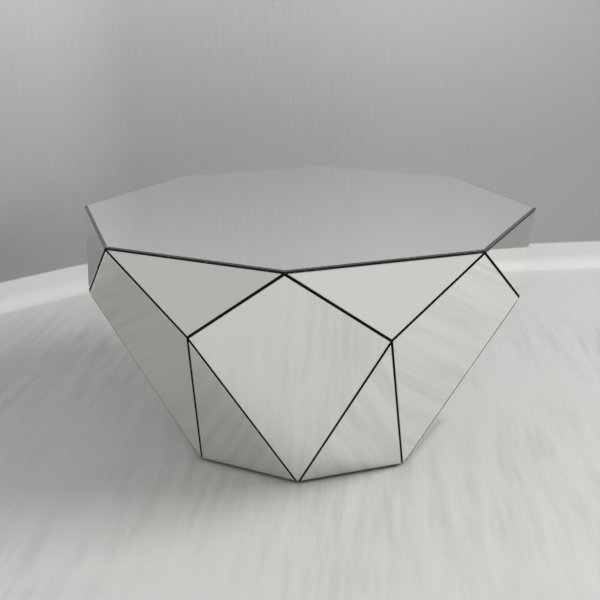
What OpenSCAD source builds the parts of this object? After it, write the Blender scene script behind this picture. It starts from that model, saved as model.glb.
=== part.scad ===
// Octagonal coffee table panelled with silvered mirror. Eight kites, eight upper triangles and
// eight lower triangles run from the wide top, over corners that stand out half way down, to a
// narrower foot. The mirrors are glued to a carcass of boards that are mitred to each other.
// The origin is on the floor under the middle of the top, and +Z is up. Kite 1 faces -Y.

/* [Overall] */
// Distance from the middle to each corner of the top
top_r = 450; // [435:1:470]
// Height of the table
height = 465; // [450:1:480]
// Height of the corners that stand out on the sides
mid_z = 335; // [325:1:345]
// Distance from the middle to each corner of the foot
base_r = 277; // [265:1:290]

/* [Mirrors] */
// Thickness of the glass
glass_t = 4; // [3:0.5:4.5]
// Gap between the back edges of neighbouring side mirrors
joint_gap = 2.6; // [1:0.1:3.2]
// Gap between the side mirrors and the underside of the top mirror
rim_gap = 0.8; // [0.4:0.1:1.4]
// Width of the bevel round the top mirror
top_bevel = 5; // [2:0.5:8]
// Width of the bevel round each side mirror
side_bevel = 1.5; // [1:0.5:4]
// Slope of the bevels, in degrees
bevel_slope = 13; // [8:1:18]

/* [Carcass] */
// Thickness of the side boards
side_board_t = 12; // [9:1:15]
// Thickness of the top board, the base board and the ribs
board_t = 18; // [16:1:20]
// Thickness of the adhesive behind the mirrors
glue_t = 1; // [0.5:0.1:1.5]
// Height of the base board's edge that shows under the side mirrors
base_lip = 4; // [1.5:0.5:4.5]
// Gap between a rib's ends and the side boards
rib_gap = 3; // [2.5:0.5:8]

/* [Cleats and fixings] */
// Height and depth of the cleats
cleat_w = 22; // [20:1:25]
// Length of a cleat under the top board
top_cleat_len = 120; // [100:1:130]
// Length of a cleat on the base board
base_cleat_len = 100; // [90:1:105]
// Length of the cleat screws
screw_len = 35; // [33:1:35]
// Radius of the screws' shanks
screw_r = 2; // [1.5:0.1:2.5]
// Distance between the two screws of a cleat
screw_pitch = 70; // [50:1:76]
// Radius of the glides
glide_r = 12; // [8:1:15]
// Thickness of the glides
glide_t = 3; // [3:0.5:5]
// Radius of a dab of adhesive behind a side mirror
side_dab_r = 12; // [6:1:14]
// Radius of a dab of adhesive under the top mirror
top_dab_r = 20; // [10:1:30]

/* [Hidden] */
sides = 8;
step = 360 / sides;
half_step = step / 2;
reach = 1200;

// The levels between which the side mirrors show
glass_top_z = height - glass_t - rim_gap;
glass_low_z = glide_t + base_lip;

// The three kinds of facet: how far each leans outwards on its way up, and its outline in its own
// plane, with X along the facet and Y up its slope. The facets run from the floor to glass_top_z,
// where the kites' tips meet the corners of the top, and the corners at mid_z lie in the kites' planes.
mid_r = (base_r + (top_r - base_r) * mid_z / glass_top_z) / cos(half_step);
top_flat = top_r * cos(half_step);
base_flat = base_r * cos(half_step);
kite_lean = atan((top_r - base_r) / glass_top_z);
upper_lean = atan((top_flat - mid_r) / (glass_top_z - mid_z));
lower_lean = atan((mid_r - base_flat) / mid_z);

mid_half = mid_r * sin(half_step);
kite_len = glass_top_z / cos(kite_lean);
kite_mid = mid_z / cos(kite_lean);
top_half = top_r * sin(half_step);
upper_len = (glass_top_z - mid_z) / cos(upper_lean);
base_half = base_r * sin(half_step);
lower_len = mid_z / cos(lower_lean);

kite = [[0, 0], [mid_half, kite_mid], [0, kite_len], [-mid_half, kite_mid]];
upper = [[0, 0], [top_half, upper_len], [-top_half, upper_len]];
lower = [[-base_half, 0], [base_half, 0], [0, lower_len]];

// The angle through which the surface turns at a ridge, and at each edge of each outline.
// An edge along the rim or the foot counts as 0, because it isn't a mitre.
function ridge(lean_a, lean_b) =
    acos(cos(lean_a) * cos(lean_b) * cos(half_step) + sin(lean_a) * sin(lean_b));
upper_ridge = ridge(kite_lean, upper_lean);
lower_ridge = ridge(kite_lean, lower_lean);
kite_turns = [lower_ridge, upper_ridge, upper_ridge, lower_ridge];
upper_turns = [upper_ridge, 0, upper_ridge];
lower_turns = [0, lower_ridge, lower_ridge];

longest_square_edge = 40;

// Depths behind the mirrors' faces, and the levels that the pieces meet at
carcass_depth = glass_t + glue_t;
inner_depth = carcass_depth + side_board_t;
base_top_z = glide_t + board_t;
top_board_z = height - carcass_depth - board_t;
half_lap_z = (base_top_z + top_board_z) / 2;

head_r = 2 * screw_r;
head_h = 1.2 * screw_r;
recess_w = 0.4 * screw_r;
recess_d = 0.6 * head_h;
round_fn = 48;

glass_color = [0.78, 0.8, 0.78];
black_color = [0.07, 0.07, 0.07];
board_color = [0.6, 0.47, 0.33];
pine_color = [0.8, 0.66, 0.45];
glue_color = [0.86, 0.86, 0.82];
steel_color = [0.7, 0.7, 0.72];
felt_color = [0.16, 0.15, 0.14];

function numbered(name) = [for (i = [1:sides]) str(name, i)];

// Radius of a facet's plane, a depth behind its face, at a height
function plane_r(foot_r, foot_z, lean, depth, z) =
    foot_r + (z - foot_z) * tan(lean) - depth / cos(lean);

// The outline's corner i, after the edges before and after it move inwards by in_a and in_b
function moved_corner(p, i, in_a, in_b) =
    let (
        n = len(p),
        a = p[i] - p[(i + n - 1) % n],
        b = p[(i + 1) % n] - p[i],
        u = [-a.y, a.x] / norm(a),
        v = [-b.y, b.x] / norm(b),
        area = u.x * v.y - u.y * v.x
    )
    p[i] + [in_a * v.y - in_b * u.y, in_b * u.x - in_a * v.x] / area;

function inset(p, by) =
    [for (i = [0:len(p) - 1]) moved_corner(p, i, by[(i + len(p) - 1) % len(p)], by[i])];

function mitre_insets(turns, depth) = [for (t = turns) depth * tan(t / 2)];

// Square-cut glass keeps half the joint gap from the ridge at its back edge
function glass_insets(turns) = [for (t = turns) glass_t * tan(t / 2) + joint_gap / 2];

// ---- placing ----

// A facet's own frame: Z is 0 on the mirrors' faces and points outwards
module on_face(foot_r, foot_z, lean) {
    translate([0, -foot_r, foot_z])
        rotate([90 + lean, 0, 0])
            children();
}

module on_kite(i) {
    rotate([0, 0, step * (i - 1)])
        on_face(base_r, 0, kite_lean)
            children();
}

module on_upper(i) {
    rotate([0, 0, step * (i - 1) + half_step])
        on_face(mid_r, mid_z, upper_lean)
            children();
}

module on_lower(i) {
    rotate([0, 0, step * (i - 1) + half_step])
        on_face(base_flat, 0, lower_lean)
            children();
}

// An edge's own frame: X runs along the edge from a to b, and Y points into the panel
module on_edge(a, b) {
    translate([a.x, a.y, 0])
        rotate([0, 0, atan2(b.y - a.y, b.x - a.x)])
            children();
}

// ---- shaping ----

module beyond_face(depth) {
    translate([-reach, -reach, -depth])
        cube(2 * reach);
}

module bevel_cut(a, b, width) {
    on_edge(a, b)
        translate([0, 0, -width * tan(bevel_slope)])
            rotate([bevel_slope, 0, 0])
                translate([-reach, -reach, 0])
                    cube(2 * reach);
}

module mitre_cut(a, b, turn) {
    on_edge(a, b)
        rotate([turn / 2, 0, 0])
            translate([-reach, -2 * reach, -reach])
                cube(2 * reach);
}

// An edge as short as a kite's cut tip stays square
module glass_panel(outline, bevel) {
    n = len(outline);
    difference() {
        translate([0, 0, -glass_t])
            linear_extrude(glass_t)
                polygon(outline);
        for (i = [0:n - 1]) {
            if (norm(outline[(i + 1) % n] - outline[i]) > longest_square_edge) {
                bevel_cut(outline[i], outline[(i + 1) % n], bevel);
            }
        }
    }
}

module mitred_panel(outline, turns) {
    n = len(outline);
    difference() {
        translate([0, 0, -inner_depth])
            linear_extrude(side_board_t)
                polygon(inset(outline, mitre_insets(turns, carcass_depth)));
        for (i = [0:n - 1]) {
            if (turns[i] > 0) {
                mitre_cut(outline[i], outline[(i + 1) % n], turns[i]);
            }
        }
    }
}

// The height between the base board and the top board
module between_boards() {
    intersection() {
        children();
        translate([-reach, -reach, base_top_z])
            cube([2 * reach, 2 * reach, top_board_z - base_top_z]);
    }
}

// ---- mirrors ----

module top_mirror() {
    color(glass_color)
        translate([0, 0, height])
            glass_panel([for (i = [0:sides - 1]) top_r * [cos(step * i), sin(step * i)]], top_bevel);
}

module upper_mirror(i) {
    side_inset = glass_insets(upper_turns)[0];
    color(glass_color)
        on_upper(i)
            glass_panel(inset(upper, [side_inset, 0, side_inset]), side_bevel);
}

// The kite's bottom tip is cut off level with the foot, or just above its point if that is higher
module kite_mirror(i) {
    full = inset(kite, glass_insets(kite_turns));
    low_y = max(glass_low_z / cos(kite_lean), full[0].y + 1);
    low_x = (low_y - full[0].y) * mid_half / kite_mid;
    color(glass_color)
        on_kite(i)
            glass_panel([[-low_x, low_y], [low_x, low_y], full[1], full[2], full[3]], side_bevel);
}

module lower_mirror(i) {
    foot_inset = glass_low_z / cos(lower_lean);
    side_inset = glass_insets(lower_turns)[1];
    color(glass_color)
        on_lower(i)
            glass_panel(inset(lower, [foot_inset, side_inset, side_inset]), side_bevel);
}

// ---- adhesive ----

module dab(x, y, r) {
    translate([x, y, -carcass_depth])
        cylinder(h = glue_t, r = r, $fn = round_fn);
}

module top_adhesive() {
    color(glue_color)
        translate([0, 0, height]) {
            dab(0, 0, top_dab_r);
            for (i = [0:sides - 1], ring = [0.4, 0.78]) {
                dab(ring * top_r * cos(step * i), ring * top_r * sin(step * i), top_dab_r);
            }
        }
}

module side_adhesive() {
    color(glue_color)
        for (i = [1:sides]) {
            on_kite(i) {
                for (y = [0.25, 0.5, 0.85]) {
                    dab(0, y * kite_len, side_dab_r);
                }
                for (x = [-0.5, 0.5]) {
                    dab(x * mid_half, kite_mid, side_dab_r);
                }
            }
            on_upper(i)
                for (x = [-0.5, 0, 0.5]) {
                    dab(x * top_half, 0.78 * upper_len, side_dab_r);
                }
            on_lower(i) {
                for (x = [-0.5, 0.5]) {
                    dab(x * base_half, 0.12 * lower_len, side_dab_r);
                }
                for (y = [0.35, 0.65]) {
                    dab(0, y * lower_len, side_dab_r);
                }
            }
        }
}

// ---- carcass ----

module upper_board(i) {
    color(black_color)
        between_boards()
            on_upper(i)
                mitred_panel(upper, upper_turns);
}

// Behind the ridges the kites also meet each other, on the upright planes through the M corners
module kite_board(i) {
    color(black_color)
        between_boards()
            difference() {
                on_kite(i)
                    mitred_panel(kite, kite_turns);
                rotate([0, 0, step * (i - 1) + half_step])
                    translate([0, -reach, -reach])
                        cube(2 * reach);
                rotate([0, 0, step * (i - 1) - half_step])
                    translate([-2 * reach, -reach, -reach])
                        cube(2 * reach);
            }
}

module lower_board(i) {
    color(black_color)
        between_boards()
            on_lower(i)
                mitred_panel(lower, lower_turns);
}

module top_board() {
    color(black_color)
        difference() {
            translate([0, 0, top_board_z])
                cylinder(h = board_t, r = top_r, $fn = sides);
            for (i = [1:sides]) {
                on_kite(i) beyond_face(carcass_depth);
                on_upper(i) beyond_face(carcass_depth);
            }
            top_screws();
        }
}

module base_board() {
    color(black_color)
        difference() {
            translate([0, 0, glide_t])
                cylinder(h = board_t, r = base_r + board_t, $fn = sides);
            for (i = [1:sides]) {
                on_kite(i) beyond_face(carcass_depth);
                on_lower(i) beyond_face(carcass_depth);
            }
            base_screws();
        }
}

// An upright board across the inside. A slot in it, up from slot_z, takes the other rib.
module rib(slot_z) {
    low_r = plane_r(base_r, 0, kite_lean, inner_depth, base_top_z) - rib_gap;
    high_r = plane_r(base_r, 0, kite_lean, inner_depth, top_board_z) - rib_gap;
    difference() {
        rotate([90, 0, 0])
            translate([0, 0, -board_t / 2])
                linear_extrude(board_t)
                    polygon([
                        [-low_r, base_top_z], [low_r, base_top_z],
                        [high_r, top_board_z], [-high_r, top_board_z]
                    ]);
        translate([-board_t / 2, -board_t, slot_z])
            cube([board_t, 2 * board_t, reach]);
    }
}

module rib_lengthwise() {
    color(board_color)
        rib(half_lap_z);
}

module rib_crosswise() {
    color(board_color)
        rotate([0, 0, 90])
            rib(half_lap_z - reach);
}

// ---- cleats and fixings ----

upper_r_high = plane_r(mid_r, mid_z, upper_lean, inner_depth, top_board_z);
upper_r_low = plane_r(mid_r, mid_z, upper_lean, inner_depth, top_board_z - cleat_w);
lower_r_low = plane_r(base_flat, 0, lower_lean, inner_depth, base_top_z);
lower_r_high = plane_r(base_flat, 0, lower_lean, inner_depth, base_top_z + cleat_w);

// A block whose outer side lies against a board: section holds its [radius, height] corners
module cleat(section, length) {
    rotate([90, 0, -90])
        translate([0, 0, -length / 2])
            linear_extrude(length)
                polygon(section);
}

module every_cleat() {
    for (i = [1:sides]) {
        rotate([0, 0, step * (i - 1) + half_step])
            children();
    }
}

module top_cleats() {
    color(pine_color)
        difference() {
            every_cleat()
                cleat([
                    [upper_r_high - cleat_w, top_board_z - cleat_w], [upper_r_low, top_board_z - cleat_w],
                    [upper_r_high, top_board_z], [upper_r_high - cleat_w, top_board_z]
                ], top_cleat_len);
            top_screws();
        }
}

module base_cleats() {
    color(pine_color)
        difference() {
            every_cleat()
                cleat([
                    [lower_r_low - cleat_w, base_top_z], [lower_r_low, base_top_z],
                    [lower_r_high, base_top_z + cleat_w], [lower_r_low - cleat_w, base_top_z + cleat_w]
                ], base_cleat_len);
            base_screws();
        }
}

module screw() {
    cylinder(h = screw_len, r = screw_r, $fn = round_fn);
    cylinder(h = head_h, r1 = head_r, r2 = screw_r, $fn = round_fn);
}

// Two upright screws in each cleat, at a radius, with their heads at a height
module screw_pairs(r, z) {
    every_cleat()
        for (x = [-screw_pitch / 2, screw_pitch / 2]) {
            translate([x, -r, z])
                children();
        }
}

module at_top_screws() {
    screw_pairs(upper_r_high - cleat_w / 2, top_board_z - cleat_w)
        children();
}

module at_base_screws() {
    screw_pairs(lower_r_low - cleat_w / 2, glide_t)
        children();
}

module top_screws() {
    at_top_screws() screw();
}

module base_screws() {
    at_base_screws() screw();
}

module cross_recess_screw() {
    difference() {
        screw();
        for (turn = [0, 90]) {
            rotate([0, 0, turn])
                translate([-screw_r, -recess_w / 2, -recess_d])
                    cube([2 * screw_r, recess_w, 2 * recess_d]);
        }
    }
}

module cleat_screws() {
    color(steel_color) {
        at_top_screws() cross_recess_screw();
        at_base_screws() cross_recess_screw();
    }
}

module glides() {
    color(felt_color)
        for (i = [0:sides - 1]) {
            rotate([0, 0, step * i])
                translate([0.8 * base_r, 0, 0])
                    cylinder(h = glide_t, r = glide_r, $fn = round_fn);
        }
}

top_mirror();
top_adhesive();
top_board();
for (i = [1:sides]) upper_mirror(i);
for (i = [1:sides]) kite_mirror(i);
for (i = [1:sides]) lower_mirror(i);
side_adhesive();
for (i = [1:sides]) upper_board(i);
for (i = [1:sides]) kite_board(i);
for (i = [1:sides]) lower_board(i);
rib_lengthwise();
rib_crosswise();
top_cleats();
base_cleats();
cleat_screws();
base_board();
glides();
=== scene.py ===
import bpy
import numpy as np
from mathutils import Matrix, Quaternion, Vector


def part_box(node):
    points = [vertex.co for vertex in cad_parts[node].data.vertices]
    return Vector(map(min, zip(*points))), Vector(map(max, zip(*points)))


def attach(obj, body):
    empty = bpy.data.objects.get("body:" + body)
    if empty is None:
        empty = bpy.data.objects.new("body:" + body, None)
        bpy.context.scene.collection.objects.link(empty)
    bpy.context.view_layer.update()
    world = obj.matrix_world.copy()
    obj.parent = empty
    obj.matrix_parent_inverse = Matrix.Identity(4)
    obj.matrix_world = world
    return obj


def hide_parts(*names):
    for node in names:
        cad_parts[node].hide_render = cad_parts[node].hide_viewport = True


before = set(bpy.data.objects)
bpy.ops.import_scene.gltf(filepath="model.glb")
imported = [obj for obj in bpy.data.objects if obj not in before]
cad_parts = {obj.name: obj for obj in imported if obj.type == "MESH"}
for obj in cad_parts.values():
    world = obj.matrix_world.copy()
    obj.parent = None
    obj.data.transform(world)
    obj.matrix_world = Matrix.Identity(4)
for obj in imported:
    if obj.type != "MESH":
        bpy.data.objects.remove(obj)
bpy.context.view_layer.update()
print("frame loaded:", len(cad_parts), "nodes")

# The few sizes, in metres, that fix every facet. The others are worked out or come from the frame.
tableShape = {
    "sides": 8,
    "midZ": 0.335,       # height of the corners that stand out on the sides
    "baseR": 0.277,      # from the middle to a corner of the foot
    "jointGap": 0.0026,  # between the back edges of neighbouring side panes
    "rimGap": 0.0008,    # between the side panes and the top pane
    "tipFlat": 0.001,    # least height taken off a kite's bottom point
}

topLow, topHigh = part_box("top_mirror")
topR = topHigh.x
height = topHigh.z
glassT = topHigh.z - topLow.z
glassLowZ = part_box("lower_mirror_1")[0].z
glassTopZ = topLow.z - tableShape["rimGap"]
fullTurn = 2 * np.pi
step = fullTurn / tableShape["sides"]
halfStep = step / 2

# How the edges of every pane are worked, in metres and radians.
paneEdge = {
    "bevelSlope": np.radians(13),
    "arris": 0.00015,        # stoned corner between the bevel and the edge
    "backArris": 0.0003,
    "border": 0.010,         # ring on the face, from the edge
    "cornerR": 0.0006,
    "innerR": 0.0002,
    "arcSteps": 5,
    "edgeSteps": 6,
}


# The angle through which the surface turns between two facets that lean by a and b, half a step apart.
def ridgeTurn(a, b):
    return np.arccos(np.cos(a) * np.cos(b) * np.cos(halfStep) + np.sin(a) * np.sin(b))


# Square-cut glass stops where its back edge is half the joint gap from the ridge.
def jointInset(ridge):
    return glassT * np.tan(ridge / 2) + tableShape["jointGap"] / 2


# The three kinds of side facet. Each is an outline in its own plane, X along the facet and Y up its slope,
# with the inset of each edge from the ridge lines.
def facetKinds():
    midZ = tableShape["midZ"]
    baseR = tableShape["baseR"]
    midR = (baseR + (topR - baseR) * midZ / glassTopZ) / np.cos(halfStep)
    topFlat = topR * np.cos(halfStep)
    baseFlat = baseR * np.cos(halfStep)
    kiteLean = np.arctan((topR - baseR) / glassTopZ)
    upperLean = np.arctan((topFlat - midR) / (glassTopZ - midZ))
    lowerLean = np.arctan((midR - baseFlat) / midZ)
    upperIn = jointInset(ridgeTurn(kiteLean, upperLean))
    lowerIn = jointInset(ridgeTurn(kiteLean, lowerLean))

    midHalf = midR * np.sin(halfStep)
    topHalf = topR * np.sin(halfStep)
    baseHalf = baseR * np.sin(halfStep)
    kiteLen = glassTopZ / np.cos(kiteLean)
    kiteMid = midZ / np.cos(kiteLean)
    upperLen = (glassTopZ - midZ) / np.cos(upperLean)
    lowerLen = midZ / np.cos(lowerLean)

    # the kite's bottom point is rounded off above the floor
    tipSine = midHalf / np.hypot(midHalf, kiteMid)
    pointY = lowerIn / tipSine
    tipY = max(glassLowZ / np.cos(kiteLean), pointY + tableShape["tipFlat"])
    tipR = (tipY - pointY) / (1 / tipSine - 1)
    cornerR = paneEdge["cornerR"]
    return {
        "kite": {
            "footR": baseR, "footZ": 0, "lean": kiteLean, "turn": 0,
            "corners": [(0, 0), (midHalf, kiteMid), (0, kiteLen), (-midHalf, kiteMid)],
            "insets": [lowerIn, upperIn, upperIn, lowerIn],
            "radii": [tipR, cornerR, cornerR, cornerR],
        },
        "upper": {
            "footR": midR, "footZ": midZ, "lean": upperLean, "turn": halfStep,
            "corners": [(0, 0), (topHalf, upperLen), (-topHalf, upperLen)],
            "insets": [upperIn, 0, upperIn],
            "radii": [cornerR, cornerR, cornerR],
        },
        "lower": {
            "footR": baseFlat, "footZ": 0, "lean": lowerLean, "turn": halfStep,
            "corners": [(-baseHalf, 0), (baseHalf, 0), (0, lowerLen)],
            "insets": [glassLowZ / np.cos(lowerLean), lowerIn, lowerIn],
            "radii": [cornerR, cornerR, cornerR],
        },
    }


# One closed line round a pane: each edge moves inwards by its inset, and at each corner an arc runs from
# one edge's normal to the next one's, about the point that lies the radius inside both edges.
def roundedRing(corners, insets, radii):
    before = corners - np.roll(corners, 1, 0)
    after = np.roll(corners, -1, 0) - corners
    u = np.stack([-before[:, 1], before[:, 0]], 1) / np.linalg.norm(before, axis=1)[:, None]
    v = np.stack([-after[:, 1], after[:, 0]], 1) / np.linalg.norm(after, axis=1)[:, None]
    inU = np.roll(insets, 1) + radii
    inV = insets + radii
    area = u[:, 0] * v[:, 1] - u[:, 1] * v[:, 0]
    shift = np.stack([inU * v[:, 1] - inV * u[:, 1], inV * u[:, 0] - inU * v[:, 0]], 1)
    centres = corners + shift / area[:, None]
    turn = np.arccos(np.clip((u * v).sum(1), -1, 1))[:, None, None]
    s = np.linspace(0, 1, paneEdge["arcSteps"])[None, :, None]
    normals = (np.sin((1 - s) * turn) * u[:, None] + np.sin(s * turn) * v[:, None]) / np.sin(turn)
    arcs = centres[:, None] - radii[:, None, None] * normals
    t = np.linspace(0, 1, paneEdge["edgeSteps"] + 1)[None, 1:-1, None]
    straights = arcs[:, -1:] * (1 - t) + np.roll(arcs[:, :1], -1, 0) * t
    return np.concatenate([arcs, straights], 1).reshape(-1, 2)


# A pane of glass in its own frame: the edge profile, from the back face round to the mirror face, is
# carried round the outline, and a fan closes each face. Returns points, faces, finishes and UVs, where U
# is the way round the edge and V the way along the profile from the front arris.
def paneMesh(kind, look):
    corners = np.array(kind["corners"], float)
    insets = np.array(kind["insets"], float)
    radii = np.array(kind["radii"], float)
    bevelWidth = look["bevelWidth"]
    arris = paneEdge["arris"]
    backArris = paneEdge["backArris"]
    border = paneEdge["border"]
    bevelDepth = bevelWidth * np.tan(paneEdge["bevelSlope"])
    # inset, depth, finish of the strip up to the next ring
    profile = [
        (border, -glassT, "backPaint"),
        (backArris, -glassT, "groundEdge"),
        (0, backArris - glassT, "groundEdge"),
        (0, -bevelDepth - arris, "groundEdge"),
        (arris, -bevelDepth, look["bevelFinish"]),
        (bevelWidth, 0, look["faceFinish"]),
        (border, 0, look["faceFinish"]),
    ]
    arrisRing = 4   # the front arris, where V is 0
    rings = []
    for inset, depth, _ in profile:
        ring = roundedRing(corners, insets + inset, np.maximum(radii - inset, paneEdge["innerR"]))
        rings.append(np.column_stack([ring, np.full(len(ring), depth)]))
    rings = np.array(rings)
    ringCount, around = rings.shape[:2]
    middle = corners.mean(0)
    centres = [(*middle, -glassT), (*middle, 0)]
    points = np.concatenate([rings.reshape(-1, 3), centres])

    index = np.arange(ringCount * around).reshape(ringCount, around)
    ahead = np.roll(index, -1, 1)
    quads = np.stack([index[:-1], ahead[:-1], ahead[1:], index[1:]], 2).reshape(-1, 4)
    backCentre = ringCount * around
    backFan = np.stack([np.full(around, backCentre), ahead[0], index[0]], 1)
    frontFan = np.stack([index[-1], ahead[-1], np.full(around, backCentre + 1)], 1)
    faces = quads.tolist() + backFan.tolist() + frontFan.tolist()
    strips = [finish for _, _, finish in profile[:-1] for _ in range(around)]
    finishes = strips + ["backPaint"] * around + [look["faceFinish"]] * around

    outer = rings[arrisRing]
    lengths = np.linalg.norm(np.roll(outer, -1, 0) - outer, axis=1)
    u = np.concatenate([[0], np.cumsum(lengths)])
    steps = np.array([np.hypot(b[0] - a[0], b[1] - a[1]) for a, b in zip(profile, profile[1:])])
    v = np.concatenate([[0], np.cumsum(steps)])
    v -= v[arrisRing]
    uLeft = np.broadcast_to(u[:-1], (ringCount - 1, around))
    uRight = np.broadcast_to(u[1:], (ringCount - 1, around))
    vLow = np.broadcast_to(v[:-1, None], (ringCount - 1, around))
    vHigh = np.broadcast_to(v[1:, None], (ringCount - 1, around))
    quadUv = np.stack([uLeft, vLow, uRight, vLow, uRight, vHigh, uLeft, vHigh], 2).reshape(-1, 2)
    reach = np.linalg.norm(rings[0, :, :2] - middle, axis=1)
    fanMid = (u[:-1] + u[1:]) / 2
    backUv = np.stack([fanMid, v[0] - reach, u[1:], v[0] + 0 * reach, u[:-1], v[0] + 0 * reach], 1)
    frontUv = np.stack([u[:-1], v[-1] + 0 * reach, u[1:], v[-1] + 0 * reach, fanMid, v[-1] + reach], 1)
    uv = np.concatenate([quadUv, backUv.reshape(-1, 2), frontUv.reshape(-1, 2)])
    return points, faces, finishes, uv


# Puts a facet's own frame in place: its X runs level, its Y leans outwards on the way up, its Z is outward.
def placeOnTable(points, kind, number):
    lean = kind["lean"]
    turn = step * (number - 1) + kind["turn"]
    level = np.array([1, 0, 0])
    slope = np.array([0, -np.sin(lean), np.cos(lean)])
    outward = np.array([0, -np.cos(lean), -np.sin(lean)])
    spot = np.array([0, -kind["footR"], kind["footZ"]])
    upright = spot + points @ np.stack([level, slope, outward])
    c, s = np.cos(turn), np.sin(turn)
    return upright @ np.array([[c, s, 0], [-s, c, 0], [0, 0, 1]])


# A mesh object at the origin, with one material slot for each finish and a finish named for each face.
def newPiece(name, points, faces, materials, finishes=None, uv=None, smooth=False):
    mesh = bpy.data.meshes.new(name)
    mesh.from_pydata(points.tolist(), [], faces)
    for material in materials.values():
        mesh.materials.append(material)
    if finishes is not None:
        order = {finish: i for i, finish in enumerate(materials)}
        mesh.polygons.foreach_set("material_index", [order[finish] for finish in finishes])
    if uv is not None:
        layer = mesh.uv_layers.new(name="edgeSpace")
        layer.data.foreach_set("uv", uv.astype(np.float32).ravel())
    mesh.polygons.foreach_set("use_smooth", [smooth] * len(mesh.polygons))
    mesh.update()
    piece = bpy.data.objects.new(name, mesh)
    bpy.context.scene.collection.objects.link(piece)
    return piece


# A node of any kind, with its settings, and with each input either set or wired from another node's output.
def addNode(tree, kind, inputs=None, **settings):
    node = tree.nodes.new("ShaderNode" + kind)
    for name, value in settings.items():
        setattr(node, name, value)
    for name, value in (inputs or {}).items():
        if isinstance(value, bpy.types.NodeSocket):
            tree.links.new(value, node.inputs[name])
        else:
            node.inputs[name].default_value = value
    return node


# One step of arithmetic, named as in the Math node.
def sums(tree, operation, a, b=0.0, c=0.0):
    return addNode(tree, "Math", {0: a, 1: b, 2: c}, operation=operation).outputs[0]


# Slides from 0 to 1 as the value goes from low to high, eased at both ends.
def easedStep(tree, value, low, high, lowOut=0.0, highOut=1.0):
    inputs = {"Value": value, "From Min": low, "From Max": high, "To Min": lowOut, "To Max": highOut}
    return addNode(tree, "MapRange", inputs, interpolation_type="SMOOTHSTEP").outputs["Result"]


# Slides from a to b as the share goes from 0 to 1.
def mixColours(tree, share, a, b):
    return addNode(tree, "Mix", {0: share, 6: a, 7: b}, data_type="RGBA").outputs[2]


def mixValues(tree, share, a, b):
    return addNode(tree, "Mix", {0: share, 2: a, 3: b}, data_type="FLOAT").outputs[0]


def noise(tree, vector, scale, detail=2.0, roughness=0.5, distortion=0.0):
    inputs = {"Vector": vector, "Scale": scale, "Detail": detail, "Roughness": roughness,
              "Distortion": distortion}
    return addNode(tree, "TexNoise", inputs).outputs["Fac"]


# Each axis multiplied by its own number, so a pattern is finer along the larger ones.
def stretched(tree, vector, x, y, z):
    inputs = {0: vector, 1: (x, y, z)}
    return addNode(tree, "VectorMath", inputs, operation="MULTIPLY").outputs[0]


# A shared effect. Inputs are (name, socket type, default), and outputs are (name, socket type).
def newGroup(name, inputs, outputs):
    group = bpy.data.node_groups.new(name, "ShaderNodeTree")
    for socketName, kind, default in inputs:
        socket = group.interface.new_socket(socketName, in_out="INPUT", socket_type="NodeSocket" + kind)
        if default is not None:
            socket.default_value = default
    for socketName, kind in outputs:
        group.interface.new_socket(socketName, in_out="OUTPUT", socket_type="NodeSocket" + kind)
    taken = group.nodes.new("NodeGroupInput").outputs
    given = group.nodes.new("NodeGroupOutput").inputs
    return group, taken, given


# Places a shared effect in a material, with each input either set or wired.
def useGroup(tree, group, **inputs):
    node = tree.nodes.new("ShaderNodeGroup")
    node.node_tree = group
    for name, value in inputs.items():
        if isinstance(value, bpy.types.NodeSocket):
            tree.links.new(value, node.inputs[name])
        else:
            node.inputs[name].default_value = value
    return node.outputs


# Soft streaks that a cloth leaves: noise drawn out along one way and bent by a slower noise.
def wipeMarksGroup():
    group, taken, given = newGroup(
        "wipeMarks", [("Vector", "Vector", None), ("Scale", "Float", 6.0)], [("Mask", "Float")])
    bend = addNode(group, "TexNoise", {"Vector": taken["Vector"], "Scale": 3.0, "Detail": 1.0})
    pushed = addNode(group, "VectorMath", {0: bend.outputs["Color"], 1: (0.25, 0.25, 0.25)},
                     operation="MULTIPLY").outputs[0]
    bent = addNode(group, "VectorMath", {0: taken["Vector"], 1: pushed}, operation="ADD").outputs[0]
    lines = noise(group, stretched(group, bent, 1.0, 7.0, 2.5), taken["Scale"], 4.0, 0.6)
    patches = noise(group, taken["Vector"], 4.0, 2.0)
    inPatches = easedStep(group, patches, 0.42, 0.62)
    mask = sums(group, "MULTIPLY", easedStep(group, lines, 0.46, 0.72), inPatches)
    group.links.new(mask, given["Mask"])
    return group


# Specks of dust where a point lies near the middle of its cell, with a thin film between them.
def dustFilmGroup():
    group, taken, given = newGroup(
        "dustFilm", [("Vector", "Vector", None), ("Scale", "Float", 260.0), ("Film", "Float", 0.02)],
        [("Mask", "Float")])
    cells = addNode(group, "TexVoronoi", {"Vector": taken["Vector"], "Scale": taken["Scale"]})
    pick = addNode(group, "SeparateColor", {0: cells.outputs["Color"]}).outputs[0]
    size = easedStep(group, pick, 0.86, 1.0, 0.0, 0.22)
    specks = sums(group, "LESS_THAN", cells.outputs["Distance"], size)
    clouds = noise(group, taken["Vector"], 9.0, 4.0, 0.6)
    film = sums(group, "MULTIPLY", clouds, taken["Film"])
    mask = addNode(group, "Math", {0: sums(group, "MULTIPLY", specks, 0.4), 1: film}, operation="ADD",
                   use_clamp=True).outputs[0]
    group.links.new(mask, given["Mask"])
    return group


# The slow waves of float glass: two noises, one along and one across the way that it was drawn.
def floatRippleGroup():
    group, taken, given = newGroup(
        "floatRipple", [("Vector", "Vector", None), ("Scale", "Float", 9.0)], [("Height", "Float")])
    along = noise(group, stretched(group, taken["Vector"], 1.0, 0.35, 0.7), taken["Scale"], 0.0)
    across = noise(group, stretched(group, taken["Vector"], 0.4, 1.0, 0.8), taken["Scale"], 1.0)
    group.links.new(sums(group, "ADD", along, across), given["Height"])
    return group


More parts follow.
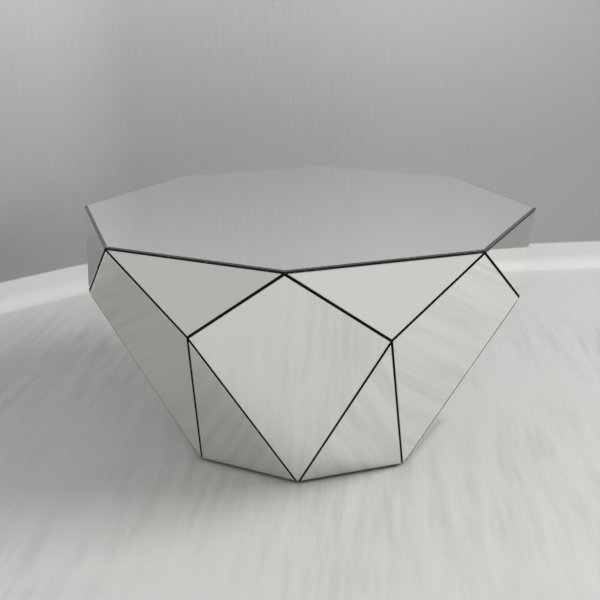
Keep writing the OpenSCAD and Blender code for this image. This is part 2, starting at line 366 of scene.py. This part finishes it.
# Small nicks along worked glass: cells whose own random value is high, cut off by their distance.
def edgeNicksGroup():
    group, taken, given = newGroup(
        "edgeNicks", [("Vector", "Vector", None), ("Scale", "Float", 420.0), ("Amount", "Float", 0.5)],
        [("Mask", "Float")])
    cells = addNode(group, "TexVoronoi", {"Vector": taken["Vector"], "Scale": taken["Scale"]})
    pick = addNode(group, "SeparateColor", {0: cells.outputs["Color"]}).outputs[1]
    limit = sums(group, "MULTIPLY_ADD", taken["Amount"], -0.1, 1.0)
    chosen = sums(group, "GREATER_THAN", pick, limit)
    shape = easedStep(group, cells.outputs["Distance"], 0.45, 0.2)
    group.links.new(sums(group, "MULTIPLY", chosen, shape), given["Mask"])
    return group


# A sprayed coat: orange peel from a fine noise, and scuffs where a drawn-out noise is highest.
def paintSkinGroup():
    group, taken, given = newGroup(
        "paintSkin", [("Vector", "Vector", None), ("Peel", "Float", 900.0), ("Scuff", "Float", 60.0)],
        [("Height", "Float"), ("Scuffs", "Float")])
    group.links.new(noise(group, taken["Vector"], taken["Peel"], 2.0), given["Height"])
    lines = noise(group, stretched(group, taken["Vector"], 1.0, 0.12, 1.6), taken["Scuff"], 5.0, 0.7)
    group.links.new(easedStep(group, lines, 0.6, 0.72), given["Scuffs"])
    return group


# Fibres or grain along local X: fine noise drawn out along it, over slower bands.
def fibreGrainGroup():
    group, taken, given = newGroup(
        "fibreGrain", [("Vector", "Vector", None), ("Fine", "Float", 500.0), ("Bands", "Float", 40.0)],
        [("Fibres", "Float"), ("Bands", "Float")])
    drawn = stretched(group, taken["Vector"], 0.06, 1.0, 1.0)
    group.links.new(noise(group, drawn, taken["Fine"], 4.0, 0.65), given["Fibres"])
    group.links.new(noise(group, drawn, taken["Bands"], 2.0, 0.5, 0.6), given["Bands"])
    return group


# Faint brush streaks in paint: noise drawn out along one way by the stretch, times a slower noise.
def brushStreaksGroup():
    group, taken, given = newGroup(
        "brushStreaks", [("Vector", "Vector", None), ("Stretch", "Vector", (1.0, 1.0, 1.0))],
        [("Mask", "Float")])
    drawn = addNode(group, "VectorMath", {0: taken["Vector"], 1: taken["Stretch"]},
                    operation="MULTIPLY").outputs[0]
    lines = noise(group, drawn, 3.0, 6.0, 0.65)
    patches = noise(group, taken["Vector"], 1.6, 4.0, 0.6)
    mask = sums(group, "MULTIPLY", easedStep(group, lines, 0.35, 0.7), easedStep(group, patches, 0.3, 0.7))
    group.links.new(mask, given["Mask"])
    return group


groups = {
    "wipeMarks": wipeMarksGroup(),
    "dustFilm": dustFilmGroup(),
    "floatRipple": floatRippleGroup(),
    "edgeNicks": edgeNicksGroup(),
    "paintSkin": paintSkinGroup(),
    "fibreGrain": fibreGrainGroup(),
    "brushStreaks": brushStreaksGroup(),
}
print("shared effects built:", len(groups))


# An empty material with one Principled shader, whose plain values are set on its own sockets.
def newMaterial(name, **values):
    material = bpy.data.materials.new(name)
    material.use_nodes = True
    tree = material.node_tree
    tree.nodes.clear()
    shader = addNode(tree, "BsdfPrincipled")
    output = addNode(tree, "OutputMaterial")
    tree.links.new(shader.outputs[0], output.inputs["Surface"])
    for socket, value in values.items():
        shader.inputs[socket.replace("_", " ")].default_value = value
    where = addNode(tree, "TexCoord").outputs["Object"]
    return material, tree, shader, where


# Wires each source to the shader's socket of that name.
def drive(tree, shader, **sources):
    for socket, source in sources.items():
        tree.links.new(source, shader.inputs[socket.replace("_", " ")])


def bump(tree, heightSource, distance, strength=1.0):
    inputs = {"Height": heightSource, "Distance": distance, "Strength": strength}
    return addNode(tree, "Bump", inputs).outputs[0]


# Both silvers carry the faint green of mirror glass. On top of that, the side silver is tinted warmer and
# the top silver lighter and greener. These are painted reflection tints that stand in for what each face
# reflects.
silverLook = {
    "sideSilver": (0.912, 0.914, 0.884, 1),
    "topSilver": (0.918, 0.938, 0.922, 1),
    "dust": (0.62, 0.61, 0.58, 1),
    "polish": 0.012,         # roughness where clean, where wiped and under dust
    "wiped": 0.035,
    "dusty": 0.6,
    "ripple": 0.00003,
}


# The silvered face: a mirror that is a little duller in the wiped streaks and under the dust.
def silverFaceMaterial(name):
    look = silverLook
    material, tree, shader, where = newMaterial(name, Metallic=1.0)
    wipe = useGroup(tree, groups["wipeMarks"], Vector=where, Scale=6.0)["Mask"]
    dust = useGroup(tree, groups["dustFilm"], Vector=where, Scale=300.0, Film=0.02)["Mask"]
    ripple = useGroup(tree, groups["floatRipple"], Vector=where, Scale=9.0)["Height"]
    polish = mixValues(tree, wipe, look["polish"], look["wiped"])
    drive(tree, shader,
          Base_Color=mixColours(tree, dust, look[name], look["dust"]),
          Roughness=mixValues(tree, dust, polish, look["dusty"]),
          Normal=bump(tree, ripple, look["ripple"]))
    return material


bevelLook = {
    "silver": (0.80, 0.83, 0.80, 1),
    "dust": (0.6, 0.6, 0.57, 1),
    "nick": (0.9, 0.92, 0.9, 1),
    "polish": 0.02,
    "dusty": 0.5,
    "nicked": 0.55,
    "ripple": 0.00003,
}


# The bevel: the same silver seen through the sloping glass, with a greener tint and small nicks.
def bevelGlassMaterial():
    look = bevelLook
    material, tree, shader, where = newMaterial("bevelGlass", Metallic=1.0)
    nicks = useGroup(tree, groups["edgeNicks"], Vector=where, Scale=380.0, Amount=0.25)["Mask"]
    dust = useGroup(tree, groups["dustFilm"], Vector=where, Scale=300.0, Film=0.05)["Mask"]
    ripple = useGroup(tree, groups["floatRipple"], Vector=where, Scale=30.0)["Height"]
    clean = mixColours(tree, dust, look["silver"], look["dust"])
    polish = mixValues(tree, dust, look["polish"], look["dusty"])
    drive(tree, shader,
          Base_Color=mixColours(tree, nicks, clean, look["nick"]),
          Roughness=mixValues(tree, nicks, polish, look["nicked"]),
          Normal=bump(tree, ripple, look["ripple"]))
    return material


rimLook = {
    "deep": (0.030, 0.038, 0.034, 1),
    "shallow": (0.050, 0.062, 0.054, 1),
    "dust": (0.5, 0.5, 0.47, 1),
    "nick": (0.75, 0.78, 0.76, 1),
    "roughness": (0.05, 0.5),
}


# The rim of the top pane, which has no silver behind its bevel: clear glass over black, so it only shows
# the gloss of its surface, with dust and nicks.
def rimGlassMaterial():
    look = rimLook
    material, tree, shader, where = newMaterial("rimGlass", Specular_IOR_Level=0.35)
    nicks = useGroup(tree, groups["edgeNicks"], Vector=where, Scale=420.0, Amount=0.3)["Mask"]
    dust = useGroup(tree, groups["dustFilm"], Vector=where, Scale=300.0, Film=0.06)["Mask"]
    depth = noise(tree, where, 14.0, 2.0)
    glass = mixColours(tree, depth, look["deep"], look["shallow"])
    dusty = mixColours(tree, dust, glass, look["dust"])
    drive(tree, shader,
          Base_Color=mixColours(tree, nicks, dusty, look["nick"]),
          Roughness=mixValues(tree, dust, *look["roughness"]))
    return material


edgeLook = {
    "low": (0.003, 0.004, 0.003, 1),
    "high": (0.014, 0.018, 0.013, 1),
    "nick": (0.42, 0.46, 0.43, 1),
    "roughness": (0.34, 0.5),
    "relief": 0.00002,
}


# The worked edge of the glass: dark green-grey with the wheel's fine lines along it and bright nicks.
def groundEdgeMaterial():
    look = edgeLook
    material, tree, shader, where = newMaterial("groundEdge", Specular_IOR_Level=0.18)
    edgeSpace = addNode(tree, "UVMap", uv_map="edgeSpace").outputs[0]
    lines = noise(tree, stretched(tree, edgeSpace, 30.0, 6000.0, 1.0), 1.0, 3.0, 0.6)
    nicks = useGroup(tree, groups["edgeNicks"], Vector=where, Scale=500.0, Amount=0.3)["Mask"]
    ground = easedStep(tree, lines, 0.35, 0.7)
    tone = mixColours(tree, ground, look["low"], look["high"])
    drive(tree, shader,
          Base_Color=mixColours(tree, nicks, tone, look["nick"]),
          Roughness=mixValues(tree, easedStep(tree, lines, 0.3, 0.7), *look["roughness"]),
          Normal=bump(tree, lines, look["relief"]))
    return material


backPaintLook = {
    "dark": (0.20, 0.23, 0.22, 1),
    "light": (0.27, 0.30, 0.29, 1),
    "scuff": (0.42, 0.43, 0.42, 1),
    "roughness": (0.5, 0.75),
    "relief": 0.00004,
}


# The grey paint that guards the silver on the back of each pane.
def backPaintMaterial():
    look = backPaintLook
    material, tree, shader, where = newMaterial("backPaint")
    skin = useGroup(tree, groups["paintSkin"], Vector=where, Peel=700.0, Scuff=45.0)
    shade = noise(tree, where, 30.0, 3.0)
    tone = mixColours(tree, shade, look["dark"], look["light"])
    drive(tree, shader,
          Base_Color=mixColours(tree, skin["Scuffs"], tone, look["scuff"]),
          Roughness=mixValues(tree, skin["Scuffs"], *look["roughness"]),
          Normal=bump(tree, skin["Height"], look["relief"]))
    return material


blackBoardLook = {
    "dark": (0.008, 0.008, 0.009, 1),
    "light": (0.016, 0.015, 0.015, 1),
    "scuff": (0.10, 0.08, 0.06, 1),
    "dust": (0.30, 0.29, 0.27, 1),
    "roughness": (0.42, 0.62),
    "relief": 0.00006,
}


# Black sprayed board: a thin satin coat over fibres that still show as a fine nap.
def blackBoardMaterial():
    look = blackBoardLook
    material, tree, shader, where = newMaterial("blackBoard")
    skin = useGroup(tree, groups["paintSkin"], Vector=where, Peel=800.0, Scuff=55.0)
    grain = useGroup(tree, groups["fibreGrain"], Vector=where, Fine=420.0, Bands=25.0)
    dust = useGroup(tree, groups["dustFilm"], Vector=where, Scale=350.0, Film=0.06)["Mask"]
    tone = mixColours(tree, grain["Bands"], look["dark"], look["light"])
    worn = mixColours(tree, sums(tree, "MULTIPLY", skin["Scuffs"], 0.35), tone, look["scuff"])
    relief = sums(tree, "ADD", skin["Height"], sums(tree, "MULTIPLY", grain["Fibres"], 0.6))
    drive(tree, shader,
          Base_Color=mixColours(tree, dust, worn, look["dust"]),
          Roughness=mixValues(tree, grain["Fibres"], *look["roughness"]),
          Normal=bump(tree, relief, look["relief"]))
    return material


rawBoardLook = {
    "dark": (0.30, 0.20, 0.12, 1),
    "light": (0.52, 0.39, 0.26, 1),
    "fleck": (0.16, 0.10, 0.06, 1),
    "roughness": (0.78, 0.92),
    "relief": 0.00012,
}


# Raw fibreboard: short pale and dark fibres in a brown felted ground.
def rawBoardMaterial():
    look = rawBoardLook
    material, tree, shader, where = newMaterial("rawBoard")
    grain = useGroup(tree, groups["fibreGrain"], Vector=where, Fine=700.0, Bands=90.0)
    flecks = noise(tree, where, 1400.0, 3.0, 0.7)
    tone = mixColours(tree, grain["Fibres"], look["dark"], look["light"])
    drive(tree, shader,
          Base_Color=mixColours(tree, easedStep(tree, flecks, 0.62, 0.72), tone, look["fleck"]),
          Roughness=mixValues(tree, grain["Bands"], *look["roughness"]),
          Normal=bump(tree, sums(tree, "ADD", grain["Fibres"], flecks), look["relief"]))
    return material


pineLook = {
    "earlyWood": (0.70, 0.50, 0.28, 1),
    "lateWood": (0.45, 0.25, 0.10, 1),
    "fibre": (0.80, 0.64, 0.42, 1),
    "roughness": (0.52, 0.70),
    "relief": 0.00008,
}


# Planed pine: dark late wood in bands along the grain, with fine pores.
def pineMaterial():
    look = pineLook
    material, tree, shader, where = newMaterial("pine")
    grain = useGroup(tree, groups["fibreGrain"], Vector=where, Fine=900.0, Bands=170.0)
    rings = addNode(tree, "TexWave", {"Vector": stretched(tree, where, 0.12, 1.0, 1.0), "Scale": 60.0,
                                      "Distortion": 6.0, "Detail": 2.0, "Detail Scale": 2.0}).outputs["Fac"]
    lateWood = easedStep(tree, rings, 0.55, 0.95)
    tone = mixColours(tree, lateWood, look["earlyWood"], look["lateWood"])
    fibres = sums(tree, "MULTIPLY", grain["Fibres"], 0.35)
    drive(tree, shader,
          Base_Color=mixColours(tree, fibres, tone, look["fibre"]),
          Roughness=mixValues(tree, grain["Bands"], *look["roughness"]),
          Normal=bump(tree, sums(tree, "ADD", lateWood, grain["Fibres"]), look["relief"]))
    return material


zincLook = {
    "cool": (0.58, 0.59, 0.60, 1),
    "warm": (0.70, 0.68, 0.60, 1),
    "rubbed": (0.82, 0.82, 0.82, 1),
    "roughness": (0.22, 0.42),
    "relief": 0.00001,
}


# Zinc-plated steel: bright, faintly yellow passivation in soft patches, with rubbed marks.
def zincSteelMaterial():
    look = zincLook
    material, tree, shader, where = newMaterial("zincSteel", Metallic=1.0)
    skin = useGroup(tree, groups["paintSkin"], Vector=where, Peel=3000.0, Scuff=500.0)
    patches = noise(tree, where, 220.0, 3.0, 0.6)
    tone = mixColours(tree, patches, look["cool"], look["warm"])
    drive(tree, shader,
          Base_Color=mixColours(tree, skin["Scuffs"], tone, look["rubbed"]),
          Roughness=mixValues(tree, patches, *look["roughness"]),
          Normal=bump(tree, skin["Height"], look["relief"]))
    return material


adhesiveLook = {
    "dark": (0.66, 0.65, 0.60, 1),
    "light": (0.82, 0.81, 0.76, 1),
    "roughness": (0.35, 0.6),
    "relief": 0.0003,
}


# Cured mirror adhesive: off-white, rubbery, with trapped bubbles and a wrinkled skin.
def adhesiveMaterial():
    look = adhesiveLook
    material, tree, shader, where = newMaterial("adhesive")
    wrinkles = noise(tree, where, 180.0, 4.0, 0.6, 1.2)
    bubbles = addNode(tree, "TexVoronoi", {"Vector": where, "Scale": 400.0}).outputs["Distance"]
    drive(tree, shader,
          Base_Color=mixColours(tree, wrinkles, look["dark"], look["light"]),
          Roughness=mixValues(tree, wrinkles, *look["roughness"]),
          Normal=bump(tree, sums(tree, "SUBTRACT", wrinkles, easedStep(tree, bubbles, 0.3, 0.0)),
                      look["relief"]))
    return material


feltLook = {
    "dark": (0.018, 0.017, 0.016, 1),
    "light": (0.07, 0.066, 0.06, 1),
    "lint": (0.34, 0.33, 0.31, 1),
    "roughness": (0.85, 1.0),
    "relief": 0.0005,
}


# Pressed felt: matted fibres at two sizes, paler where they stand up, with lint from the floor.
def feltMaterial():
    look = feltLook
    material, tree, shader, where = newMaterial("felt", Sheen_Weight=0.4, Sheen_Roughness=0.5)
    mat = noise(tree, where, 900.0, 5.0, 0.75, 1.5)
    tufts = noise(tree, where, 160.0, 3.0, 0.6)
    lint = useGroup(tree, groups["dustFilm"], Vector=where, Scale=500.0, Film=0.10)["Mask"]
    tone = mixColours(tree, mat, look["dark"], look["light"])
    drive(tree, shader,
          Base_Color=mixColours(tree, lint, tone, look["lint"]),
          Roughness=mixValues(tree, tufts, *look["roughness"]),
          Normal=bump(tree, sums(tree, "ADD", mat, tufts), look["relief"]))
    return material


paneFinishes = {
    "sideSilver": silverFaceMaterial("sideSilver"),
    "topSilver": silverFaceMaterial("topSilver"),
    "bevelGlass": bevelGlassMaterial(),
    "rimGlass": rimGlassMaterial(),
    "groundEdge": groundEdgeMaterial(),
    "backPaint": backPaintMaterial(),
}
blackBoard = blackBoardMaterial()
rawBoard = rawBoardMaterial()
pine = pineMaterial()
zincSteel = zincSteelMaterial()
adhesive = adhesiveMaterial()
carcassFinishes = {
    "top_board": blackBoard, "base_board": blackBoard,
    "upper_board": blackBoard, "kite_board": blackBoard, "lower_board": blackBoard,
    "rib_lengthwise": rawBoard, "rib_crosswise": rawBoard,
    "top_cleats": pine, "base_cleats": pine, "cleat_screws": zincSteel,
    "top_adhesive": adhesive, "side_adhesive": adhesive,
}
feltFinish = feltMaterial()
print("materials built:", len(bpy.data.materials))

sidePanes = {"bevelWidth": 0.0015, "bevelFinish": "bevelGlass", "faceFinish": "sideSilver"}
topPane = {"bevelWidth": 0.005, "bevelFinish": "rimGlass", "faceFinish": "topSilver", "cornerR": 0.0012}


# Stands a pane in for its node of the frame, with only the finishes it uses.
def fitPane(name, node, points, faces, finishes, uv):
    materials = {finish: paneFinishes[finish] for finish in dict.fromkeys(finishes)}
    piece = newPiece(name, points, faces, materials, finishes, uv)
    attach(piece, "root")
    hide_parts(node)


# Each kind is worked out once and then placed at every eighth of a turn.
def makeSidePanes():
    for kindName, kind in facetKinds().items():
        points, faces, finishes, uv = paneMesh(kind, sidePanes)
        for number in range(1, tableShape["sides"] + 1):
            placed = placeOnTable(points, kind, number)
            fitPane(f"{kindName}Pane_{number}", f"{kindName}_mirror_{number}", placed, faces, finishes, uv)


# The top pane is the same pane lying flat, with the table's middle at the middle of its outline.
def makeTopPane():
    angles = step * np.arange(tableShape["sides"])
    kind = {
        "corners": np.stack([topR * np.cos(angles), topR * np.sin(angles)], 1),
        "insets": np.zeros(len(angles)),
        "radii": [topPane["cornerR"]] * len(angles),
    }
    points, faces, finishes, uv = paneMesh(kind, topPane)
    fitPane("topPane", "top_mirror", points + [0, 0, height], faces, finishes, uv)


makeSidePanes()
makeTopPane()
print("panes made:", 3 * tableShape["sides"] + 1)

glidePad = {
    "shoulder": 0.0008,      # radius of the rounded edge
    "ringAt": 0.8,           # where the pads stand, as a share of the way to a corner of the foot
    "innerAt": 0.5,          # the ring on each flat face, as a share of the pad's radius
    "around": 48,
    "bendSteps": 6,
}


# Felt pads: half a rounded profile, flat where it meets the floor, turned about each pad's own axis.
def makeGlidePads():
    low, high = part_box("glides")
    thick = high.z
    shoulder = glidePad["shoulder"]
    ringR = glidePad["ringAt"] * tableShape["baseR"]
    padR = high.x - ringR
    bend = np.linspace(0, np.pi / 2, glidePad["bendSteps"])
    innerR = glidePad["innerAt"] * padR
    lowR = padR - shoulder + shoulder * np.sin(bend)
    lowZ = shoulder - shoulder * np.cos(bend)
    profileR = np.concatenate([[innerR], lowR, lowR[::-1], [innerR]])
    profileZ = np.concatenate([[0], lowZ, (thick - lowZ)[::-1], [thick]])
    turn = np.linspace(0, fullTurn, glidePad["around"], endpoint=False)
    ringX = profileR[:, None] * np.cos(turn)
    ringY = profileR[:, None] * np.sin(turn)
    ringZ = np.broadcast_to(profileZ[:, None], ringX.shape)
    shell = np.stack([ringX, ringY, ringZ], 2).reshape(-1, 3)
    pad = np.concatenate([shell, [(0, 0, 0), (0, 0, thick)]])

    rows, around = ringX.shape
    index = np.arange(rows * around).reshape(rows, around)
    ahead = np.roll(index, -1, 1)
    quads = np.stack([index[:-1], ahead[:-1], ahead[1:], index[1:]], 2).reshape(-1, 4)
    lowFan = np.stack([np.full(around, rows * around), ahead[0], index[0]], 1)
    highFan = np.stack([index[-1], ahead[-1], np.full(around, rows * around + 1)], 1)
    angles = step * np.arange(tableShape["sides"])
    spots = np.stack([ringR * np.cos(angles), ringR * np.sin(angles), 0 * angles], 1)
    points = (pad[None] + spots[:, None]).reshape(-1, 3)
    starts = len(pad) * np.arange(len(angles))[:, None, None]
    faces = (quads + starts).reshape(-1, 4).tolist()
    faces += (lowFan + starts).reshape(-1, 3).tolist()
    faces += (highFan + starts).reshape(-1, 3).tolist()
    pads = newPiece("glidePads", points, faces, {"felt": feltFinish}, smooth=True)
    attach(pads, "root")
    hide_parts("glides")


makeGlidePads()
print("glide pads made:", tableShape["sides"])


# The carcass keeps its own meshes. A node's finish goes by its name without its number.
def dressCarcass():
    for name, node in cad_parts.items():
        plain = name.rstrip("0123456789").rstrip("_")
        if plain in carcassFinishes:
            for slot in node.material_slots:
                slot.material = carcassFinishes[plain]


dressCarcass()
print("carcass dressed")

studioFloor = {
    "reach": 5.0,            # radius
    "fadeFrom": 3.2,         # where it starts to fade into the surroundings
    "opening": 0.235,        # radius of the hole under the foot, which lets light reach the underside
    "tone": (0.67, 0.66, 0.645, 1),
    "mottle": (0.55, 0.54, 0.525, 1),
    "drawn": (11.0, 1.1, 11.0),   # how much finer the streaks are along X, Y and Z
    "around": 96,
}
backWall = {
    "plan": [(-3.2, -1.75), (-0.71, 0.934), (3.2, 1.615)],   # the floor line: left end, bend, right end
    "bendR": 0.35,
    "cove": 0.04,
    "top": 3.0,
    "lift": 0.0005,          # keeps its foot off the floor's own surface
    "bendSteps": 24,
    "coveSteps": 12,
    "tone": (0.435, 0.43, 0.445, 1),
    "streak": (0.92, 0.92, 0.922, 1),
    # Painted shade: the right tone darkens the wall at the right, where the window lamp lights it most.
    "rightTone": (0.325, 0.322, 0.332, 1),
    # Painted light: the wall is lightened towards the top.
    "paintedLightTone": (0.59, 0.585, 0.60, 1),
    # Painted shadow: the low tone darkens the wall low down on the left.
    "paintedShadowTone": (0.31, 0.31, 0.315, 1),
    "drawn": (90.0, 90.0, 3.0),
    "paintedLightFrom": (0.35, 1.0),      # heights between which the paint turns to its high tone, a painted light towards the top
    "paintedShadeFrom": (0.1, 1.3),      # places along X where it turns to its right tone, a painted shade at the right
    "paintedShadowHeights": (0.45, 0.12),      # and the height and place along X where it turns to its low tone, a painted shadow
    "paintedShadowPlaces": (-0.3, -1.0),
    "skirtTop": 0.082,
    "skirtBlur": 0.003,
    "skirtTone": (0.70, 0.70, 0.69, 1),
}


# Shows a stage surface only from its front, so that a view from behind or below looks through it.
def oneSided(tree, shader, hidden=None):
    clear = addNode(tree, "BsdfTransparent").outputs[0]
    share = addNode(tree, "NewGeometry").outputs["Backfacing"]
    if hidden is not None:
        share = sums(tree, "MAXIMUM", share, hidden)
    mix = addNode(tree, "MixShader", {0: share, 1: shader.outputs[0], 2: clear})
    output = next(node for node in tree.nodes if node.type == "OUTPUT_MATERIAL")
    tree.links.new(mix.outputs[0], output.inputs["Surface"])


# Pale paint that fades out between two distances from the middle.
def floorMaterial():
    look = studioFloor
    material, tree, shader, where = newMaterial("floorPaint", Roughness=0.6, Specular_IOR_Level=0.25)
    share = useGroup(tree, groups["brushStreaks"], Vector=where, Stretch=look["drawn"])["Mask"]
    drive(tree, shader, Base_Color=mixColours(tree, share, look["tone"], look["mottle"]))
    distance = addNode(tree, "VectorMath", {0: where}, operation="LENGTH").outputs["Value"]
    oneSided(tree, shader, easedStep(tree, distance, look["fadeFrom"], look["reach"]))
    return material


# Grey paint, pale at the skirting, with painted light towards the top, a painted shadow low on the left and
# painted shade at the right.
def wallMaterial():
    look = backWall
    material, tree, shader, where = newMaterial("wallPaint", Roughness=0.6, Specular_IOR_Level=0.25)
    x, y, z = addNode(tree, "SeparateXYZ", {0: where}).outputs
    # Painted light: lighter towards the top.
    high = mixColours(tree, easedStep(tree, z, *look["paintedLightFrom"]), look["tone"], look["paintedLightTone"])
    # Painted shade: darker at the right.
    right = mixColours(tree, easedStep(tree, x, *look["paintedShadeFrom"]), high, look["rightTone"])
    # Painted shadow: darker low on the wall and towards the left.
    paintedShadowShare = sums(tree, "MULTIPLY", easedStep(tree, z, *look["paintedShadowHeights"]),
                   easedStep(tree, x, *look["paintedShadowPlaces"]))
    paint = mixColours(tree, paintedShadowShare, right, look["paintedShadowTone"])
    share = useGroup(tree, groups["brushStreaks"], Vector=where, Stretch=look["drawn"])["Mask"]
    brushed = addNode(tree, "Mix", {0: share, 6: paint, 7: look["streak"]}, data_type="RGBA",
                      blend_type="MULTIPLY").outputs[2]
    skirt = easedStep(tree, z, look["skirtTop"] + look["skirtBlur"], look["skirtTop"] - look["skirtBlur"])
    drive(tree, shader, Base_Color=mixColours(tree, skirt, brushed, look["skirtTone"]))
    oneSided(tree, shader)
    return material


# A flat ring: the cosine and sine of each angle times the radius of the opening, and times the reach.
def makeFloor():
    look = studioFloor
    turn = np.linspace(0, fullTurn, look["around"], endpoint=False)
    radii = np.array([look["opening"], look["reach"]])
    x = radii[:, None] * np.cos(turn)
    y = radii[:, None] * np.sin(turn)
    rings = np.stack([x, y, 0 * x], 2)
    index = np.arange(2 * len(turn)).reshape(2, -1)
    ahead = np.roll(index, -1, 1)
    faces = np.stack([index[0], index[1], ahead[1], ahead[0]], 1).tolist()
    floor = newPiece("floor", rings.reshape(-1, 3), faces, {"floor": floorMaterial()})


# The wall's floor line is two straight runs joined by an arc, and its section is a quarter circle up from
# the floor and then a straight rise.
def makeWall():
    look = backWall
    left, bend, right = (np.array(point) for point in look["plan"])
    toLeft = (left - bend) / np.linalg.norm(left - bend)
    toRight = (right - bend) / np.linalg.norm(right - bend)
    opening = np.arccos(toLeft @ toRight)
    tangent = look["bendR"] / np.tan(opening / 2)
    halfway = (toLeft + toRight) / np.linalg.norm(toLeft + toRight)
    middle = bend + halfway * look["bendR"] / np.sin(opening / 2)
    startAt = bend + toLeft * tangent - middle
    endAt = bend + toRight * tangent - middle
    s = np.linspace(0, 1, look["bendSteps"])[:, None]
    spread = np.pi - opening
    arc = middle + (np.sin((1 - s) * spread) * startAt + np.sin(s * spread) * endAt) / np.sin(spread)
    line = np.concatenate([left[None], arc, right[None]])
    along = np.gradient(line, axis=0)
    along /= np.linalg.norm(along, axis=1)[:, None]
    inward = np.stack([along[:, 1], -along[:, 0]], 1)

    quarter = np.linspace(0, np.pi / 2, look["coveSteps"])
    setIn = np.concatenate([look["cove"] * (1 - np.sin(quarter)), [0]])
    rise = np.concatenate([look["cove"] * (1 - np.cos(quarter)), [look["top"]]])
    flat = line[:, None] + inward[:, None] * setIn[None, :, None]
    points = np.concatenate([flat, np.broadcast_to(rise[None, :, None], (*flat.shape[:2], 1))], 2)
    rows, columns = points.shape[:2]
    index = np.arange(rows * columns).reshape(rows, columns)
    faces = np.stack([index[:-1, :-1], index[1:, :-1], index[1:, 1:], index[:-1, 1:]], 2).reshape(-1, 4)
    raised = points.reshape(-1, 3) + [0, 0, look["lift"]]
    wall = newPiece("wall", raised, faces.tolist(), {"wall": wallMaterial()}, smooth=True)


makeFloor()
makeWall()
print("stage made")

cameraView = {
    "lookAt": (-0.01457, -0.00124, 0.2691),
    "azimuth": np.radians(4.85),
    "pitch": np.radians(18.41),
    "distance": 1.895,
    "roll": np.radians(-0.8),
    "lens": 55.3,
    "sensor": 36.0,
    "farEnd": 100,
}


# The camera stands off from the point it looks at by the distance, along the way that azimuth and pitch
# give, and is then rolled about that way.
def makeCamera():
    look = cameraView
    az, pitch = look["azimuth"], look["pitch"]
    back = Vector((np.sin(az) * np.cos(pitch), -np.cos(az) * np.cos(pitch), np.sin(pitch)))
    data = bpy.data.cameras.new("camera")
    data.lens = look["lens"]
    data.sensor_width = look["sensor"]
    data.clip_end = look["farEnd"]
    camera = bpy.data.objects.new("camera", data)
    camera.location = Vector(look["lookAt"]) + back * look["distance"]
    camera.rotation_mode = "QUATERNION"
    camera.rotation_quaternion = (-back).to_track_quat("-Z", "Y") @ Quaternion((0, 0, 1), look["roll"])
    bpy.context.scene.collection.objects.link(camera)
    bpy.context.scene.camera = camera


studioLights = {
    "windowSide": {"spot": (3.2, -0.3, 3.1), "aim": (-0.3, -0.7, 0.1), "size": 1.8, "power": 120},
    "fillSide": {"spot": (-2.4, -1.8, 2.4), "aim": (0, 0, 0.2), "size": 2.4, "power": 15},
}


# Two soft square lamps, each turned to its aim. Neither shows in the mirrors.
def makeLights():
    for name, look in studioLights.items():
        data = bpy.data.lights.new(name, "AREA")
        data.size = look["size"]
        data.energy = look["power"]
        lamp = bpy.data.objects.new(name, data)
        lamp.location = look["spot"]
        lamp.rotation_mode = "QUATERNION"
        lamp.rotation_quaternion = (Vector(look["aim"]) - Vector(look["spot"])).to_track_quat("-Z", "Y")
        lamp.visible_camera = False
        lamp.visible_glossy = False
        bpy.context.scene.collection.objects.link(lamp)


surroundings = {
    "leftTone": (0.49, 0.49, 0.485, 1),
    "rightTone": (0.65, 0.65, 0.64, 1),
    "overhead": (0.50, 0.50, 0.497, 1),
    "below": (0.45, 0.45, 0.44, 1),
}


# The surroundings by direction: the horizon slides from the left tone to the right one, and eases into
# the overhead tone above and another below.
def makeSurroundings():
    look = surroundings
    world = bpy.data.worlds.new("surroundings")
    bpy.context.scene.world = world
    world.use_nodes = True
    tree = world.node_tree
    tree.nodes.clear()
    way = addNode(tree, "TexCoord").outputs["Generated"]
    x, y, z = addNode(tree, "SeparateXYZ", {0: way}).outputs
    horizon = mixColours(tree, easedStep(tree, x, -0.6, 0.7), look["leftTone"], look["rightTone"])
    upper = mixColours(tree, easedStep(tree, z, 0.05, 0.8), horizon, look["overhead"])
    whole = mixColours(tree, easedStep(tree, z, -0.1, -0.6), upper, look["below"])
    background = addNode(tree, "Background", {"Color": whole, "Strength": 1.0})
    output = addNode(tree, "OutputWorld")
    tree.links.new(background.outputs[0], output.inputs["Surface"])


makeCamera()
makeLights()
makeSurroundings()
bpy.context.scene.view_settings.view_transform = "Standard"
print("camera and light made")
